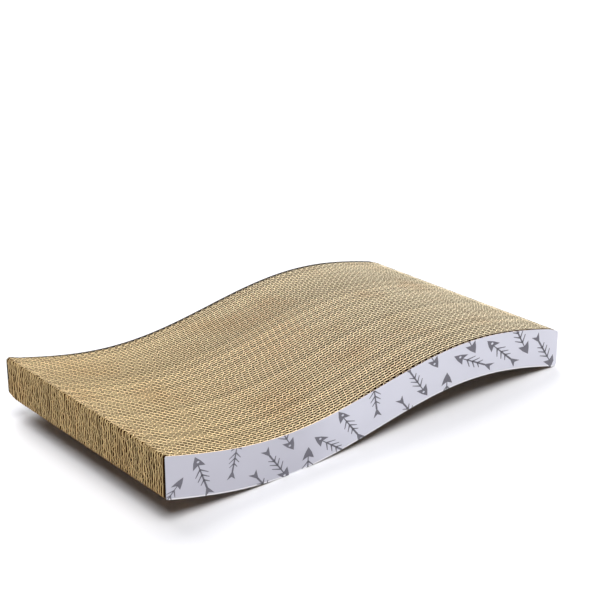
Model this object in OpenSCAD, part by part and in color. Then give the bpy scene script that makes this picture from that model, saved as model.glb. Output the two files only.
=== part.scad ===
// Wave-shaped scratching pad of corrugated cardboard.
// Narrow strips of single-face board stand on edge, flutes upright, and are glued side by side.
// The block is cut to a wave of one trough and one hump, and its two long sides carry a thin facing.
// X runs along the pad from the trough end to the hump end, Y across it from front to rear, Z up.
// The origin is the middle of the footprint, on the floor that the trough and the hump end stand on.

/* [Pad] */
// Length of the pad along its boards
pad_length = 450; // [240:1:600]
// Width of the pad across its boards, facings included
pad_width = 263.5; // [60:0.5:300]
// Thickness of the pad, measured square to its length
pad_thickness = 38; // [20:0.5:80]

/* [Wave] */
// Rise of the hump above the middle line, and depth of the trough below it
wave_height = 16; // [4:0.5:40]

/* [Corrugated boards] */
// Thickness of one board as it is bought, liner and flutes together
board_caliper = 3.4; // [2.5:0.1:8]
// Thickness of the flat liner sheet
liner_thickness = 0.35; // [0.15:0.05:0.6]
// Thickness of the fluted medium sheet
medium_thickness = 0.3; // [0.15:0.05:0.6]
// Distance from one flute's crest to the next
flute_pitch = 15.8; // [8:0.1:24]
// Line of glue between neighbouring pieces
glue_line = 0.05; // [0.02:0.01:0.2]

/* [Side facings] */
// Thickness of the printed facing on each long side
facing_thickness = 0.6; // [0.3:0.1:3]

/* [Hidden] */
// Part of the medium's thickness that stands on the liner at the foot of a flute
foot_share = 0.5;
// Flutes of neighbouring boards are set off by this share of their pitch
stagger_share = 0.5;
// Length of one flat stretch of the sawn wave, as a share of the flute pitch
stretch_share = 1.5;
// How far a cutting block runs past what it cuts
overrun = 2;

// The boards fill the space between the facings, two to a node, and are pressed or eased to fit it
block_width = pad_width - 2 * facing_thickness;
pair_count = round((block_width - glue_line) / (2 * (board_caliper + glue_line)));
board_pitch = (block_width - glue_line) / (2 * pair_count);
board_thickness = board_pitch - glue_line;

foot_height = medium_thickness * foot_share;
flute_run = flute_pitch / 2;
flute_rise = board_thickness - liner_thickness - foot_height;
flute_slope = atan2(flute_rise, flute_run);
medium_across = medium_thickness / cos(flute_slope);
glue_land = (medium_across - foot_height) / tan(flute_slope);
flute_count = ceil(pad_length / flute_pitch) + 2;

stretch = flute_pitch * stretch_share;
stretch_count = ceil(pad_length / stretch);
stations = [for (k = [0:stretch_count]) min(k * stretch, pad_length)];

function wave(x) = -wave_height * sin(360 * x / pad_length);
function underside(x) = wave(x) - pad_thickness / 2;
function topside(x) = wave(x) + pad_thickness / 2;

// The pad tips until its trough and the foot of its hump end both touch the floor
lean = max([for (x = stations) if (x < pad_length)
  atan2(underside(pad_length) - underside(x), pad_length - x)]);
rest_shift = [-pad_length * cos(lean) / 2, 0,
  pad_length * sin(lean) - underside(pad_length) * cos(lean)];

function two_digits(n) = str(n < 10 ? "0" : "", n);
function pair_name(pair) = str("boards_", two_digits(2 * pair - 1), "_", two_digits(2 * pair));

// Side view of the pad: the wave, and the same wave one thickness lower
module wave_outline() {
  polygon(concat(
    [for (x = stations) [x, topside(x)]],
    [for (k = [stretch_count:-1:0]) [stations[k], underside(stations[k])]]
  ));
}

// A slab of the pad's side view, from y = 0 to y = depth
module wave_slab(depth) {
  translate([0, depth, 0])
    rotate([90, 0, 0])
      linear_extrude(depth)
        wave_outline();
}

// One channel between the liner and the medium, seen from above, with its crest at the given x
module channel(crest) {
  polygon([
    [crest - flute_run + glue_land, liner_thickness],
    [crest + flute_run - glue_land, liner_thickness],
    [crest, board_thickness - medium_across]
  ]);
}

// Plan of one board: a straight liner in front and the medium's flutes behind it
module board_plan(first_crest) {
  crests = [for (i = [0:flute_count - 1]) first_crest + i * flute_pitch];
  left_end = crests[0] - flute_run;
  right_end = crests[flute_count - 1] + flute_run;
  difference() {
    polygon(concat(
      [[left_end, 0], [right_end, 0]],
      [for (i = [flute_count - 1:-1:0]) each [
        [crests[i] + flute_run, liner_thickness + foot_height],
        [crests[i], board_thickness]
      ]],
      [[left_end, liner_thickness + foot_height]]
    ));
    for (crest = crests)
      channel(crest);
  }
}

// One single-face board: flutes upright, sawn to the wave at its top, underside and ends
module board(number) {
  shift = number % 2 == 0 ? stagger_share : 0;
  block_height = pad_thickness + 2 * wave_height + 2 * overrun;
  intersection() {
    translate([0, 0, -block_height / 2])
      linear_extrude(block_height)
        board_plan((shift - stagger_share) * flute_pitch);
    translate([0, -overrun, 0])
      wave_slab(board_thickness + 2 * overrun);
  }
}

// Front face of a board, counted from 1 at the front
function board_y(number) = glue_line - block_width / 2 + (number - 1) * board_pitch;

// Sets what it is given down on the floor, as the pad rests
module at_rest() {
  translate(rest_shift)
    rotate([0, lean, 0])
      children();
}

module board_pair(pair) {
  color("#cdb48a")
    at_rest()
      for (number = [2 * pair - 1, 2 * pair])
        translate([0, board_y(number), 0])
          board(number);
}

module front_facing() {
  color("#d3d0dd")
    at_rest()
      translate([0, -pad_width / 2, 0])
        wave_slab(facing_thickness);
}

module rear_facing() {
  color("#d3d0dd")
    at_rest()
      translate([0, block_width / 2, 0])
        wave_slab(facing_thickness);
}

front_facing();
for (pair = [1:pair_count])
  board_pair(pair);
rear_facing();
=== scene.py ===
import math
import random

import bmesh
import bpy
from mathutils import Matrix, Vector, noise


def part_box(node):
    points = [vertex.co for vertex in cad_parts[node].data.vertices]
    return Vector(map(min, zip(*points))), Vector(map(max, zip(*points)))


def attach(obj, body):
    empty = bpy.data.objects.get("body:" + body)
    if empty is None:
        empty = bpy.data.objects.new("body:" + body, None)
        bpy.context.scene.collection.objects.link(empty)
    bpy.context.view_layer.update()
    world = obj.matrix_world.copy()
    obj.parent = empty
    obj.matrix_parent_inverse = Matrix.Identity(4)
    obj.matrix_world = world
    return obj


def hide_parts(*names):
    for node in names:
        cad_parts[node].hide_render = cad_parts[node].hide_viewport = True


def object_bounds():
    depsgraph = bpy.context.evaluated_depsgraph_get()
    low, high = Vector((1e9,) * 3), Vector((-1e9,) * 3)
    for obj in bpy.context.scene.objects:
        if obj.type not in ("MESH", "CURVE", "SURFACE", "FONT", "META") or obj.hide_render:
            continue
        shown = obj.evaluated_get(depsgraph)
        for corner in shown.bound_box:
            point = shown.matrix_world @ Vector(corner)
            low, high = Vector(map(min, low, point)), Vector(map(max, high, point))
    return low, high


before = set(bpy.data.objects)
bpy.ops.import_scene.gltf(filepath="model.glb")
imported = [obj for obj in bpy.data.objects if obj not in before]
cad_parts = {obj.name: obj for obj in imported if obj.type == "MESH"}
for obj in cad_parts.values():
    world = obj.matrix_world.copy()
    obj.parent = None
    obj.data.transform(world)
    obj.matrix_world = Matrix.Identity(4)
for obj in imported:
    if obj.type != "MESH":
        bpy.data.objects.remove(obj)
cadLow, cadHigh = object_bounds()
mm = 0.001

# The pad before it is set down: x runs along it from the trough end, y across it, and z up from
# its middle line
pad = {
    "length": 450 * mm,
    "thickness": 38 * mm,
    "waveHeight": 16 * mm,
    "width": cadHigh.y - cadLow.y,
    "leanSteps": 900,  # places along the pad at which its lean is tried
    "humpEndWear": 4.5 * mm,  # radius that use has put on the upper and lower edge of the hump end
    "troughEndWear": 0.8 * mm,  # the same on the trough end
    "cornerWear": 5 * mm,  # added to that at its lower rear corner
    "upperShare": 0.4,  # of it, at the upper rear corner
    "cornerReach": 12 * mm,
    "wearReach": 14 * mm,  # how far in from an end its wear is spread
    "sharpAngle": 40,  # degrees between two faces, past which the edge isn't shaded smooth
}


def linearColour(hexText):  # sRGB hex to linear RGBA
    shares = [int(hexText[i:i + 2], 16) / 255 for i in (1, 3, 5)]
    return [s / 12.92 if s <= 0.04045 else ((s + 0.055) / 1.055) ** 2.4 for s in shares] + [1]


def addNode(tree, kind, settings=None, inputs=None):  # one node, its inputs set or linked
    node = tree.nodes.new(kind)
    for name, value in (settings or {}).items():
        setattr(node, name, value)
    for name, value in (inputs or {}).items():
        if isinstance(value, bpy.types.NodeSocket):
            tree.links.new(value, node.inputs[name])
        else:
            node.inputs[name].default_value = value
    return node


def newMaterial(name, roughness, gloss=0.5):
    material = bpy.data.materials.new(name)
    material.use_nodes = True
    tree = material.node_tree
    shader = tree.nodes["Principled BSDF"]
    shader.inputs["Roughness"].default_value = roughness
    shader.inputs["Specular IOR Level"].default_value = gloss
    coords = addNode(tree, "ShaderNodeTexCoord").outputs["Object"]
    return material, tree, shader, coords


def newMottled(name, roughness, first, second, size, detail=2.0):  # two colours in soft patches
    material, tree, shader, coords = newMaterial(name, roughness)
    patch = addNode(tree, "ShaderNodeTexNoise", None,
                    {"Vector": coords, "Scale": 1 / size, "Detail": detail}).outputs["Fac"]
    colour = addNode(tree, "ShaderNodeMix", {"data_type": "RGBA"},
                     {"Factor": patch, "A": linearColour(first), "B": linearColour(second)})
    tree.links.new(colour.outputs[2], shader.inputs["Base Color"])
    return material


# Lays colours over the first one. A layer has its colour, its blend, what it goes by, from which
# value to which, the shares that it has at these two, and how it passes from one to the other.
def layColours(tree, colour, layers):
    for upper, blend, source, (low, high), (first, last), passage in layers:
        share = addNode(tree, "ShaderNodeMapRange", {"interpolation_type": passage},
                        {"Value": source, "From Min": low, "From Max": high,
                         "To Min": first, "To Max": last}).outputs[0]
        colour = addNode(tree, "ShaderNodeMix", {"data_type": "RGBA", "blend_type": blend},
                         {"Factor": share, "A": colour, "B": linearColour(upper)}).outputs[2]
    return colour


def smoothStep(value, low, high):
    share = min(max((value - low) / (high - low), 0), 1)
    return share * share * (3 - 2 * share)


def waveAt(x):  # middle line of the pad: a trough, then a hump
    return -pad["waveHeight"] * math.sin(2 * math.pi * x / pad["length"])


def findLean():  # the tilt at which trough and hump end both touch the floor
    foot = waveAt(pad["length"])
    steps = [pad["length"] * k / pad["leanSteps"] for k in range(pad["leanSteps"])]
    return max(math.atan2(foot - waveAt(x), pad["length"] - x) for x in steps)


lean = findLean()
restTurn = Matrix.Rotation(lean, 4, "Y")
footPoint = restTurn @ Vector((pad["length"], 0, waveAt(pad["length"]) - pad["thickness"] / 2))
restPlace = Matrix.Translation((-pad["length"] * math.cos(lean) / 2, 0, -footPoint.z))
restPose = restPlace @ restTurn


def edgeWear(drop, radius):  # how far a rounded edge is set back, so far off the middle line
    over = max(0, abs(drop) - (pad["thickness"] / 2 - radius))
    return radius - math.sqrt(max(0, radius ** 2 - over ** 2))


def onPad(x, y, drop):  # a point of the resting pad; drop is its height above the middle line
    fromStart = 1 - smoothStep(x, 0, pad["wearReach"])
    fromEnd = smoothStep(x, pad["length"] - pad["wearReach"], pad["length"])
    atRear = smoothStep(y, pad["width"] / 2 - pad["cornerReach"], pad["width"] / 2)
    corner = atRear * pad["cornerWear"] * (1 if drop < 0 else pad["upperShare"])
    startWear = edgeWear(drop, pad["troughEndWear"] + corner)
    worn = x + fromStart * startWear - fromEnd * edgeWear(drop, pad["humpEndWear"])
    return restPose @ Vector((worn, y, waveAt(x) + drop))


# Camera, as fitted to the outline of the pad: lens and sensor in mm, angles in degrees and place
# against the pad's own axes
cameraPlace = {
    "lens": 88.67,
    "sensor": 36.0,
    "clip": (0.01, 100),
    "pitch": 19.838,
    "yaw": 51.834,
    "roll": -0.092,
    "awayShares": (-2.1376, -3.3713, 1.9278),  # pad widths from the near top corner, trough end
}


def makeCamera():
    data = bpy.data.cameras.new("photoCamera")
    data.lens = cameraPlace["lens"]
    data.sensor_width = cameraPlace["sensor"]
    data.clip_start, data.clip_end = cameraPlace["clip"]
    camera = bpy.data.objects.new("photoCamera", data)
    bpy.context.scene.collection.objects.link(camera)
    pitch, yaw, roll = (math.radians(cameraPlace[k]) for k in ("pitch", "yaw", "roll"))
    level = math.cos(pitch)
    ahead = Vector((level * math.cos(yaw), level * math.sin(yaw), -math.sin(pitch)))
    flat = Vector((math.sin(yaw), -math.cos(yaw), 0))
    above = flat.cross(ahead)
    right = flat * math.cos(roll) + above * math.sin(roll)
    up = above * math.cos(roll) - flat * math.sin(roll)
    corner = Vector((0, -pad["width"] / 2, pad["thickness"] / 2))
    place = corner + Vector(cameraPlace["awayShares"]) * pad["width"]
    turn = Matrix((right, up, -ahead)).transposed().to_4x4()
    camera.matrix_world = restPose @ Matrix.Translation(place) @ turn
    bpy.context.scene.camera = camera
    print("camera")


# Studio: a white sweep, a wide window light from behind, another from the ceiling, a pale horizon
studio = {
    "floorColour": "#f4f4f5",
    "floorShade": "#f7f7f8",
    "floorRoughness": 0.9,
    "floorSize": 60.0,  # metres
    "floorCloud": 1 / 3,  # size of a paler patch, in metres too
    "suns": [  # name, tilt from straight up, bearing from X, spread in degrees, strength, colour
        ("windowSun", 47, 67, 50, 2.46, "#fdfdff"),
        ("ceilingSun", 21, 252, 46, 2.64, "#fdfdff"),
    ],
    "horizonColour": "#fbfbff",
    "horizonStrength": 1.06,
    "horizonShares": (0.155, 0.225),  # sines of the heights where it begins to fade and is gone
}


def makeStudio():
    bm = bmesh.new()
    bmesh.ops.create_grid(bm, x_segments=1, y_segments=1, size=studio["floorSize"] / 2)
    mesh = bpy.data.meshes.new("floor")
    bm.to_mesh(mesh)
    bm.free()
    # Seamless paper: matt, near white
    sweep = newMottled("whiteSweep", studio["floorRoughness"], studio["floorColour"],
                       studio["floorShade"], studio["floorCloud"])
    mesh.materials.append(sweep)
    floor = bpy.data.objects.new("floor", mesh)
    bpy.context.scene.collection.objects.link(floor)

    world = bpy.data.worlds.new("studioSky")
    bpy.context.scene.world = world
    world.use_nodes = True
    tree = world.node_tree
    sky = tree.nodes["Background"]
    sky.inputs["Color"].default_value = linearColour(studio["horizonColour"])
    outward = addNode(tree, "ShaderNodeTexCoord").outputs["Generated"]
    height = addNode(tree, "ShaderNodeSeparateXYZ", None, {0: outward}).outputs["Z"]
    fullAt, goneAt = studio["horizonShares"]
    fade = addNode(tree, "ShaderNodeMapRange", None,
                   {"Value": height, "From Min": fullAt, "From Max": goneAt,
                    "To Min": studio["horizonStrength"], "To Max": 0.0})
    tree.links.new(fade.outputs[0], sky.inputs["Strength"])
    for name, tilt, bearing, spread, strength, colour in studio["suns"]:
        data = bpy.data.lights.new(name, "SUN")
        data.energy = strength
        data.angle = math.radians(spread)
        data.color = linearColour(colour)[:3]
        sun = bpy.data.objects.new(name, data)
        bpy.context.scene.collection.objects.link(sun)
        sun.rotation_euler = (0, math.radians(tilt), math.radians(bearing))
    bpy.context.scene.view_settings.view_transform = "Standard"
    print("studio")


def thicken(bm, thickness):  # a surface becomes a sheet, half its wall to either side
    bmesh.ops.recalc_face_normals(bm, faces=bm.faces)
    bm.normal_update()
    for vert in bm.verts:
        vert.co += vert.normal * thickness / 2
    bmesh.ops.solidify(bm, geom=bm.faces[:], thickness=thickness)
    bmesh.ops.recalc_face_normals(bm, faces=bm.faces)


def addPart(bm, part):  # one bmesh is added to another, and its new vertices are given back
    mesh = bpy.data.meshes.new("part")
    part.to_mesh(mesh)
    part.free()
    known = len(bm.verts)
    bm.from_mesh(mesh)
    bpy.data.meshes.remove(mesh)
    bm.verts.ensure_lookup_table()
    return bm.verts[known:]


def finishPiece(bm, name, materials, slot, *nodes):  # a bmesh becomes a riding piece
    mesh = bpy.data.meshes.new(name)
    bm.to_mesh(mesh)
    bm.free()
    for material in materials:
        mesh.materials.append(material)
    mesh.set_sharp_from_angle(angle=math.radians(pad["sharpAngle"]))
    piece = bpy.data.objects.new(name, mesh)
    bpy.context.scene.collection.objects.link(piece)
    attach(piece, "root")
    if nodes:
        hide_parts(*nodes)


# Kraft board: unbleached brown paper, matt and fibrous, pale and furry where the saw has cut it.
# Below the cut, on its ends and underneath it is darkened as painted shade, and towards the hump
# end it pales as painted sheen
kraft = {
    "sawn": "#ffe4b1",
    # paler towards the hump end: painted sheen
    "sheenSawn": "#fff0ce",
    "sheenReach": (60 * mm, 420 * mm),  # along the pad, where the painted sheen begins and where it is full
    # brown kraft darkened where it lies below the cut, and darker still further down: painted
    # shade
    "shadedWall": "#5a360c",
    "deepShade": "#241402",
    "furReach": (0.12 * mm, 0.24 * mm),  # depths from the cut between which the pale torn fibres give way to the walls' painted shade
    "deepShadeReach": (0.24 * mm, 1.1 * mm),  # and those between which the painted shade gets darker
    "endShare": 0.6,  # an end's saw tears along the flutes, so a depth counts by this much only, and the walls' painted shade starts deeper there
    "stain": "#e0c4ac",
    "stainRange": (0.5, 0.8),  # of the noise that makes the blotches
    "stainMost": 0.4,
    "blotch": 55 * mm,  # size of a patch of darker reel or dust
    "blotchDetail": 3.0,
    # darker on the end faces: painted shade
    "endShade": "#d5cfc2",
    "endShadeReach": 2 * mm,
    "underShade": "#9c8468",  # darker where it faces the floor: painted shade, which deepens the shadow under the pad
    "underShadeReach": 2 * mm,
    "toneSpread": 0.2,  # of its brightness, from board to board and along the fibres
    "toneLift": 0.03,
    "toneRange": (0.4, 1.6),  # of the fibres' noise and a board's tone together
    "fibre": 0.9 * mm,  # drawn coarser than the real 0.1 mm, so that it shows
    "fibreDetail": 2.0,
    "bump": 0.25,
    "bumpHeight": 0.1 * mm,
    "roughness": 0.9,
    "gloss": 0.1,
}


def makeKraft():
    look = kraft["roughness"], kraft["gloss"]
    material, tree, shader, coords = newMaterial("sawnKraftBoard", *look)
    drop, along, tone = (
        addNode(tree, "ShaderNodeAttribute", {"attribute_name": name}).outputs["Fac"]
        for name in ("drop", "along", "boardTone"))
    halfThickness, halfLength = pad["thickness"] / 2, pad["length"] / 2
    height = addNode(tree, "ShaderNodeMath", {"operation": "ABSOLUTE"}, {0: drop}).outputs[0]
    fromFace = addNode(tree, "ShaderNodeMath", {"operation": "SUBTRACT"},
                       {0: halfThickness, 1: height}).outputs[0]
    fromMiddle = addNode(tree, "ShaderNodeMath", {"operation": "SUBTRACT"},
                         {0: along, 1: halfLength}).outputs[0]
    aside = addNode(tree, "ShaderNodeMath", {"operation": "ABSOLUTE"}, {0: fromMiddle}).outputs[0]
    fromEnd = addNode(tree, "ShaderNodeMath", {"operation": "SUBTRACT"},
                      {0: halfLength, 1: aside}).outputs[0]
    torn = addNode(tree, "ShaderNodeMath", {"operation": "MULTIPLY"},
                   {0: fromEnd, 1: kraft["endShare"]}).outputs[0]
    fromSaw = addNode(tree, "ShaderNodeMath", {"operation": "MINIMUM"},
                      {0: fromFace, 1: torn}).outputs[0]
    fibre = addNode(tree, "ShaderNodeTexNoise", None,
                    {"Vector": coords, "Scale": 1 / kraft["fibre"],
                     "Detail": kraft["fibreDetail"]}).outputs["Fac"]
    blotches = addNode(tree, "ShaderNodeTexNoise", None,
                       {"Vector": coords, "Scale": 1 / kraft["blotch"],
                        "Detail": kraft["blotchDetail"]}).outputs["Fac"]
    stainShares = (0, kraft["stainMost"])
    underShadeReach = (kraft["underShadeReach"] - halfThickness, -halfThickness)
    layered = layColours(tree, linearColour(kraft["sawn"]), (
        # paler towards the hump end: painted sheen
        (kraft["sheenSawn"], "MIX", along, kraft["sheenReach"], (0, 1), "LINEAR"),
        # walls below the cut, then darker with depth: painted shade
        (kraft["shadedWall"], "MIX", fromSaw, kraft["furReach"], (0, 1), "SMOOTHSTEP"),
        (kraft["deepShade"], "MIX", fromSaw, kraft["deepShadeReach"], (0, 1), "LINEAR"),
        (kraft["stain"], "MULTIPLY", blotches, kraft["stainRange"], stainShares, "LINEAR"),
        # darker on the end faces: painted shade
        (kraft["endShade"], "MULTIPLY", fromEnd, (0, kraft["endShadeReach"]), (1, 0), "SMOOTHSTEP"),
        # darker where it faces the floor: painted shade
        (kraft["underShade"], "MULTIPLY", drop, underShadeReach, (0, 1), "LINEAR"),
    ))
    both = addNode(tree, "ShaderNodeMath", {"operation": "ADD"}, {0: fibre, 1: tone}).outputs[0]
    dimmest, brightest = kraft["toneRange"]
    middle = 1 + kraft["toneLift"]
    value = addNode(tree, "ShaderNodeMapRange", None,
                    {"Value": both, "From Min": dimmest, "From Max": brightest,
                     "To Min": middle - kraft["toneSpread"],
                     "To Max": middle + kraft["toneSpread"]}).outputs[0]
    colour = addNode(tree, "ShaderNodeHueSaturation", None, {"Color": layered, "Value": value})
    bump = addNode(tree, "ShaderNodeBump", None,
                   {"Height": fibre, "Strength": kraft["bump"], "Distance": kraft["bumpHeight"]})
    tree.links.new(colour.outputs[0], shader.inputs["Base Color"])
    tree.links.new(bump.outputs["Normal"], shader.inputs["Normal"])
    return material


# Corrugated boards: a flat liner with a fluted medium glued to it, on edge
board = {
    "liner": 0.6 * mm,  # drawn thicker than it is, for its furred edge
    "medium": 0.33 * mm,  # drawn a little thicker, too
    "glueLine": 0.05 * mm,
    "flutePitch": 7.65 * mm,
    "fluteSteps": 12,
    "steepness": 1.6,  # of the flutes' sides: 0 is a sine
    "linerSteps": 2,  # to a flute
    "middleRows": 2,
    "endRows": 22,
    "endZone": 14 * mm,
    "skew": 0.06,  # of a pitch, by which a board's flutes may lean from the underside to the top
    "driftShare": 0.33,  # of a pitch, from one board to the next
    "driftSpread": 0.07,
    "driftSeed": 11,
    "driftSway": 0.9,
    "driftGrain": (330 * mm, 14),  # along the boards, and in boards across them
    "otherPitch": 0.025,  # by which every other board's flutes are closer together
    "evenAt": 50 * mm,  # where the flutes of both kinds are in step
    "rowSway": 0.25 * mm,
    "rowSwayGrain": (70 * mm, 25 * mm),  # along the pad, and across it
    "endSway": 1.5 * mm,
    "endSwayGrain": (6 * mm, 7 * mm),  # up the end, and across the pad
    "straightEdge": 8 * mm,  # how far from the facings the sway is full
    "edgeRag": 0.16 * mm,
    "edgeRagGrain": (1.6 * mm, 1.1 * mm),
    "endWander": 0.8,  # of a pitch, by which a saw cut along a flute strays
    "wanderTurns": 9,  # how often it does so from the underside to the top
    "wanderStep": 5.3,  # how far apart in the noise two boards lie, so that none stray alike
    # where in the noise each of these reads, so that no two agree
    "slices": {"rows": 3.1, "ends": 7.7, "drift": 1.5, "troughSaw": 9.1, "humpSaw": 2.2},
    "setBack": (2.6 * mm, 1.6 * mm),  # of the first board, from the trough end and the hump end
    "lowered": 0.7 * mm,  # how far the last board's top lies below the rear facing's
    "loweredReach": (0, 110 * mm),  # where that begins along the pad, and where it is full
    "sunk": 1.1 * mm,  # the same for the first board and the front facing
    "sunkReach": (165 * mm, 245 * mm),
}


def sway(x, y, drop):  # how far the glued rows wander across the pad, the same for neighbours
    full = smoothStep(pad["width"] / 2 - abs(y), 0, board["straightEdge"])
    length, width = board["rowSwayGrain"]
    low = noise.noise(Vector((x / length, y / width, board["slices"]["rows"])))
    near = 1 - smoothStep(min(x, pad["length"] - x), 0, board["endZone"] / 2)
    height, width = board["endSwayGrain"]
    high = noise.noise(Vector((drop / height, y / width, board["slices"]["ends"])))
    return full * (board["rowSway"] * low + near * board["endSway"] * high)


def makeSheet(columns, thickness, place):  # laid by place(x, height share), finer at its ends
    bm = bmesh.new()
    drop = bm.verts.layers.float.new("drop")
    along = bm.verts.layers.float.new("along")
    ends = round(columns * board["endZone"] / pad["length"])
    stretches = (
        (0, ends, board["endRows"]),
        (ends, columns - ends, board["middleRows"]),
        (columns - ends, columns, board["endRows"]),
    )
    for first, last, rows in stretches:
        made = bmesh.ops.create_grid(bm, x_segments=last - first, y_segments=rows, size=0.5)
        for vert in made["verts"]:
            x = (first + (vert.co.x + 0.5) * (last - first)) / columns * pad["length"]
            share = vert.co.y + 0.5
            vert[drop] = (share - 0.5) * pad["thickness"]
            vert[along] = x
            vert.co = place(x, round(share, 5))
    thicken(bm, thickness)
    return bm


# The liner and the medium of one board; start and skew are shares of a pitch
def makeBoard(row, isLast, y0, caliper, start, skew):
    slices = board["slices"]

    def laid(x, y, share):  # a point of this board, its cut edges a little ragged
        drop = (share - 0.5) * pad["thickness"]
        if share in (0, 1):
            length, width = board["edgeRagGrain"]
            rag = board["edgeRag"] * noise.noise(Vector((x / length, y / width, row)))
            drop += rag if share else abs(rag)  # nothing hangs below the floor
        if share == 1 and isLast:
            drop -= board["lowered"] * smoothStep(x, *board["loweredReach"])
        if share == 1 and row == 0:
            drop -= board["sunk"] * smoothStep(x, *board["sunkReach"])
        if row == 0:
            atTrough, atHump = board["setBack"]
            x += atTrough * (1 - smoothStep(x, 0, board["endZone"]))
            x -= atHump * smoothStep(x, pad["length"] - board["endZone"], pad["length"])
        return onPad(x, y + sway(x, y, drop), drop)

    def linerAt(x, share):
        return laid(x, y0 + board["liner"] / 2, share)

    def mediumAt(x, share):
        roll = x / board["flutePitch"] + start + skew * share
        roll += row % 2 * board["otherPitch"] * (x - board["evenAt"]) / board["flutePitch"]
        length, rows = board["driftGrain"]
        roll += board["driftSway"] * noise.noise(Vector((x / length, row / rows, slices["drift"])))
        near = 1 - smoothStep(min(x, pad["length"] - x), 0, board["endZone"])
        saw = slices["troughSaw" if x < pad["length"] / 2 else "humpSaw"]
        stray = noise.noise(Vector((share * board["wanderTurns"], row * board["wanderStep"], saw)))
        roll += near * board["endWander"] * stray
        crest = -math.cos(2 * math.pi * roll)
        rise = 0.5 + 0.5 * math.tanh(board["steepness"] * crest) / math.tanh(board["steepness"])
        reach = caliper - board["liner"] - board["medium"]
        return laid(x, y0 + board["liner"] + board["medium"] / 2 + rise * reach, share)

    flutes = round(pad["length"] / board["flutePitch"])
    return (makeSheet(flutes * board["linerSteps"], board["liner"], linerAt),
            makeSheet(flutes * board["fluteSteps"], board["medium"], mediumAt))


def makeBoardPair(number, front, pitch, drifts, material):
    draw = random.Random(number)
    both = bmesh.new()
    tone = both.verts.layers.float.new("boardTone")
    both.verts.layers.float.new("drop")
    both.verts.layers.float.new("along")
    for row in (2 * number - 2, 2 * number - 1):
        start = row * board["driftShare"] + drifts[row]
        skew = draw.uniform(-board["skew"], board["skew"])
        shade = draw.random()
        isLast = row == len(drifts) - 1
        caliper = pitch - board["glueLine"]
        for sheet in makeBoard(row, isLast, front + row * pitch, caliper, start, skew):
            for vert in addPart(both, sheet):
                vert[tone] = shade
    for face in both.faces:
        face.smooth = True
    name = f"boards_{2 * number - 1:02d}_{2 * number:02d}"
    finishPiece(both, "dressed_" + name, (material,), "corrugated_board", name)


def makeBoards():
    pairs = sorted(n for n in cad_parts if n.startswith("boards_"))
    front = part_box(pairs[0])[0].y
    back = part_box(pairs[-1])[1].y
    count = 2 * len(pairs)
    pitch = (back - front + board["glueLine"]) / count
    draw = random.Random(board["driftSeed"])
    drift = 0
    drifts = []
    for row in range(count):
        drift += draw.gauss(0, board["driftSpread"])
        drifts.append(drift)
    material = makeKraft()
    for number in range(1, len(pairs) + 1):
        makeBoardPair(number, front, pitch, drifts, material)
    print("boards:", count, "pitch mm:", round(pitch / mm, 3))


# Fishbones printed on the facings. A motif has its place along the pad and up from its middle
# line, both in mm, its heading in degrees, an eye or none, and its size.
fishPrint = {
    "ink": "#67656f",
    "palerInk": "#75737c",
    "inkRoughness": 0.6,
    "inkPatch": 4 * mm,
    "inkDetail": 3.0,
    "inkLift": 0.05 * mm,
    "inkThickness": 0.03 * mm,
    "endMargin": 0.4 * mm,
    "length": 39 * mm,
    "stretch": 1.38,  # the print is drawn out along the pad
    "motifs": [
        (3, -16.5, 53, False, 0.85), (35, -1, 104.5, True, 1), (67, 9.5, 80, True, 0.89),
        (98, -22, -60, False, 1), (110, -5, -62, True, 1), (117, 21, -66, True, 1),
        (143, -20, 88, False, 1), (170, -10, 137, True, 1), (190, -1, 120, True, 1),
        (218, 12, 97, False, 1), (260, -22, -58, False, 1), (267, 4, -61, True, 1.01),
        (280, 26, -63, True, 1.02), (304, -23, 90, False, 1.05), (327, 25, -65, False, 1.07),
        (337, -2, 148, True, 1.09), (374, 0, 132, True, 1.12), (397, 13, -66, False, 1.13),
        (432, -3.2, -63, False, 1.13),
    ],
}
# One fishbone, in shares of its length
fishShares = {
    "head": [(0.5, 0), (0.37, 0.068), (0.215, 0.118), (0.28, 0), (0.215, -0.118), (0.37, -0.068)],
    "eye": (0.354, -0.018, 0.025),  # along, up, radius
    "eyeSides": 12,
    "tail": [(-0.27, 0), (-0.37, 0.04), (-0.5, 0.088), (-0.43, 0), (-0.5, -0.088), (-0.37, -0.04)],
    "spine": (-0.3, 0.3, 0.038),  # from, to, width
    # root, sweep back and reach
    "ribs": [(0.166, 0.14, 0.122), (0.033, 0.124, 0.108), (-0.1, 0.094, 0.084)],
    "ribWidth": 0.031,
    "strokeSteps": 5,
    "taper": 0.5,  # of a stroke's width, lost by its far end
}


def addOutline(bm, points, hole=None):  # a flat filled outline, with a round hole if one is given
    rim = [bm.verts.new((x, 0, z)) for x, z in points]
    edges = [bm.edges.new((rim[k - 1], rim[k])) for k in range(len(rim))]
    if hole:
        x, z, radius = hole
        place = Matrix.Translation((x, 0, z)) @ Matrix.Rotation(math.pi / 2, 4, "X")
        known = len(bm.edges)
        bmesh.ops.create_circle(bm, segments=fishShares["eyeSides"], radius=radius, matrix=place)
        bm.edges.ensure_lookup_table()
        edges += bm.edges[known:]
    bmesh.ops.triangle_fill(bm, use_beauty=True, edges=edges)


def addStroke(bm, start, end, width):  # a thin tapering stroke
    root = Vector((start[0], 0, start[1]))
    run = Vector((end[0] - start[0], 0, end[1] - start[1]))
    turn = Matrix.Rotation(-math.atan2(run.z, run.x), 4, "Y")
    made = bmesh.ops.create_grid(bm, x_segments=fishShares["strokeSteps"], y_segments=1, size=0.5)
    for vert in made["verts"]:
        along = vert.co.x + 0.5
        wide = width * (1 - fishShares["taper"] * along)
        vert.co = turn @ Vector((along * run.length, 0, vert.co.y * wide)) + root


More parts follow.
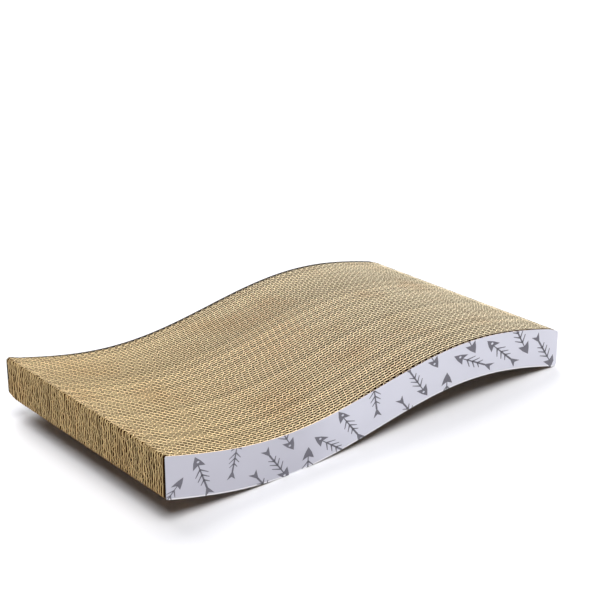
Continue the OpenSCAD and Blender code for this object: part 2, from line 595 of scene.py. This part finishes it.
def addFishbone(bm, place, turn, length, eye):
    fish = bmesh.new()
    addOutline(fish, fishShares["head"], fishShares["eye"] if eye else None)
    addOutline(fish, fishShares["tail"])
    start, end, width = fishShares["spine"]
    addStroke(fish, (start, 0), (end, 0), width)
    for root, sweep, reach in fishShares["ribs"]:
        for side in (1, -1):
            addStroke(fish, (root, 0), (root - sweep, side * reach), fishShares["ribWidth"])
    bmesh.ops.scale(fish, verts=fish.verts, vec=(length,) * 3)
    bmesh.ops.rotate(fish, verts=fish.verts, matrix=Matrix.Rotation(-turn, 3, "Y"))
    bmesh.ops.scale(fish, verts=fish.verts, vec=(fishPrint["stretch"], 1, 1))
    bmesh.ops.translate(fish, verts=fish.verts, vec=place)
    addPart(bm, fish)


def makePrint(name, side, material):
    bm = bmesh.new()
    for along, up, turn, eye, size in fishPrint["motifs"]:
        x = along * mm if side < 0 else pad["length"] - along * mm
        place = Vector((x, 0, waveAt(x) + up * mm))
        heading = math.radians(turn if side < 0 else 180 - turn)
        addFishbone(bm, place, heading, fishPrint["length"] * size, eye)
    for vert in bm.verts:  # straightened, so that the pad's edges are straight cuts
        vert.co.z -= waveAt(vert.co.x)
    half = pad["thickness"] / 2
    first, last = fishPrint["endMargin"], pad["length"] - fishPrint["endMargin"]
    cuts = (((0, 0, half), (0, 0, 1)), ((0, 0, -half), (0, 0, -1)),
            ((first, 0, 0), (-1, 0, 0)), ((last, 0, 0), (1, 0, 0)))
    for place, away in cuts:
        bmesh.ops.bisect_plane(bm, geom=bm.verts[:] + bm.edges[:] + bm.faces[:], plane_co=place,
                               plane_no=away, clear_outer=True)
    y = side * (pad["width"] / 2 + fishPrint["inkLift"])
    for vert in bm.verts:
        vert.co = onPad(vert.co.x, y, vert.co.z)
    thicken(bm, fishPrint["inkThickness"])
    finishPiece(bm, name, (material,), "facing_paper")


# Side facings: pale printed paper board with a soft sheen and raw cut edges
facing = {
    "thickness": 0.6 * mm,
    "steps": 150,
    "heightSteps": 22,
    "face": "#dadae4",
    # darker towards the trough end: painted shade
    "shadedFace": "#c5c4ce",
    "shadedFaceReach": (-110 * mm, -30 * mm),  # along X, where the painted shade of its trough end gives way
    "cloud": 60 * mm,  # size of the clouds in that painted shade, and how far they shift it
    "cloudDetail": 3.0,
    "lowerHighlight": "#f4f3f6",  # paler along the lower edge: a painted highlight
    "lowerHighlightReach": (0.8 * mm, 1.4 * mm),
    "grain": 1.5 * mm,  # drawn coarser than the real 0.3 mm, so that it shows
    "grainDetail": 2.0,
    "bump": 0.12,
    "bumpHeight": 0.05 * mm,
    "roughness": 0.55,
    "gloss": 0.35,
    "edge": "#d4c4c2",
    "edgeShade": "#c2b0ac",
    # near black: painted shade on the ends and inner side of the facings, and on the rear's long
    # edges
    "shadedEdge": "#37342f",
    "shadedEdgePaler": "#4b4741",
    "edgeRoughness": 0.9,
    "edgeFibre": 1.2 * mm,  # drawn coarser than the real 0.1 mm, so that it shows
    "endFrom": 0.9,  # share of X in a normal, from which a face is an end's
    "sideFrom": 0.5,  # share of Y, from which it is the printed or the glued side's
}


# One facing, with the materials of its printed side, its long edges, and all the rest
def makeFacing(name, node, side, materials):
    bm = bmesh.new()
    bmesh.ops.create_grid(bm, x_segments=facing["steps"], y_segments=facing["heightSteps"],
                          size=0.5)
    bmesh.ops.translate(bm, verts=bm.verts, vec=(0.5, 0, 0))
    y = side * (pad["width"] / 2 - facing["thickness"] / 2)
    drop = bm.verts.layers.float.new("drop")
    for vert in bm.verts:
        vert[drop] = vert.co.y * pad["thickness"]
        vert.co = onPad(vert.co.x * pad["length"], y, vert[drop])
    thicken(bm, facing["thickness"])
    for face in bm.faces:
        face.smooth = True
        outward = face.normal.y * side
        if abs(face.normal.x) > facing["endFrom"] or outward < -facing["sideFrom"]:
            face.material_index = 2
        elif abs(outward) < facing["sideFrom"]:
            face.material_index = 1
    finishPiece(bm, name, materials, "facing_paper", node)


def makePaper():  # coated and printed liner: pale lilac, with a soft sheen
    look = facing["roughness"], facing["gloss"]
    material, tree, shader, coords = newMaterial("printedPaper", *look)
    cloud = addNode(tree, "ShaderNodeTexNoise", None,
                    {"Vector": coords, "Scale": 1 / facing["cloud"],
                     "Detail": facing["cloudDetail"]})
    place = addNode(tree, "ShaderNodeSeparateXYZ", None, {0: coords}).outputs["X"]
    wander = addNode(tree, "ShaderNodeMath", {"operation": "MULTIPLY_ADD"},
                     {0: cloud.outputs["Fac"], 1: facing["cloud"], 2: place}).outputs[0]
    drop = addNode(tree, "ShaderNodeAttribute", {"attribute_name": "drop"}).outputs["Fac"]
    litReach = [reach + facing["cloud"] / 2 for reach in facing["shadedFaceReach"]]
    lowerHighlightReach = [reach - pad["thickness"] / 2 for reach in facing["lowerHighlightReach"]]
    # darker towards the trough end: painted shade
    colour = layColours(tree, linearColour(facing["shadedFace"]), (
        (facing["face"], "MIX", wander, litReach, (0, 1), "SMOOTHSTEP"),
        # paler along the lower edge: a painted highlight
        (facing["lowerHighlight"], "MIX", drop, lowerHighlightReach, (1, 0), "LINEAR"),
    ))
    grain = addNode(tree, "ShaderNodeTexNoise", None,
                    {"Vector": coords, "Scale": 1 / facing["grain"],
                     "Detail": facing["grainDetail"]})
    bump = addNode(tree, "ShaderNodeBump", None,
                   {"Height": grain.outputs["Fac"], "Strength": facing["bump"],
                    "Distance": facing["bumpHeight"]})
    tree.links.new(colour, shader.inputs["Base Color"])
    tree.links.new(bump.outputs["Normal"], shader.inputs["Normal"])
    return material


def makeFacings():
    paper = makePaper()
    # Cut edges of a facing: fibrous and matt, pale where rubbed. The near-black edges are painted
    # shade
    rawEdge = newMottled("rawPaperEdge", facing["edgeRoughness"], facing["edge"],
                         facing["edgeShade"], facing["edgeFibre"])
    shadedEdge = newMottled("shadedPaperEdge", facing["edgeRoughness"], facing["shadedEdge"],
                           facing["shadedEdgePaler"], facing["edgeFibre"])
    # Thin dark grey ink, a little uneven
    ink = newMottled("greyInk", fishPrint["inkRoughness"], fishPrint["ink"],
                     fishPrint["palerInk"], fishPrint["inkPatch"], fishPrint["inkDetail"])
    makeFacing("dressed_front_facing", "front_facing", -1, (paper, rawEdge, shadedEdge))
    makeFacing("dressed_rear_facing", "rear_facing", 1, (paper, shadedEdge, shadedEdge))
    makePrint("front_print", -1, ink)
    makePrint("rear_print", 1, ink)
    print("facings and print")


makeCamera()
makeStudio()
makeBoards()
makeFacings()
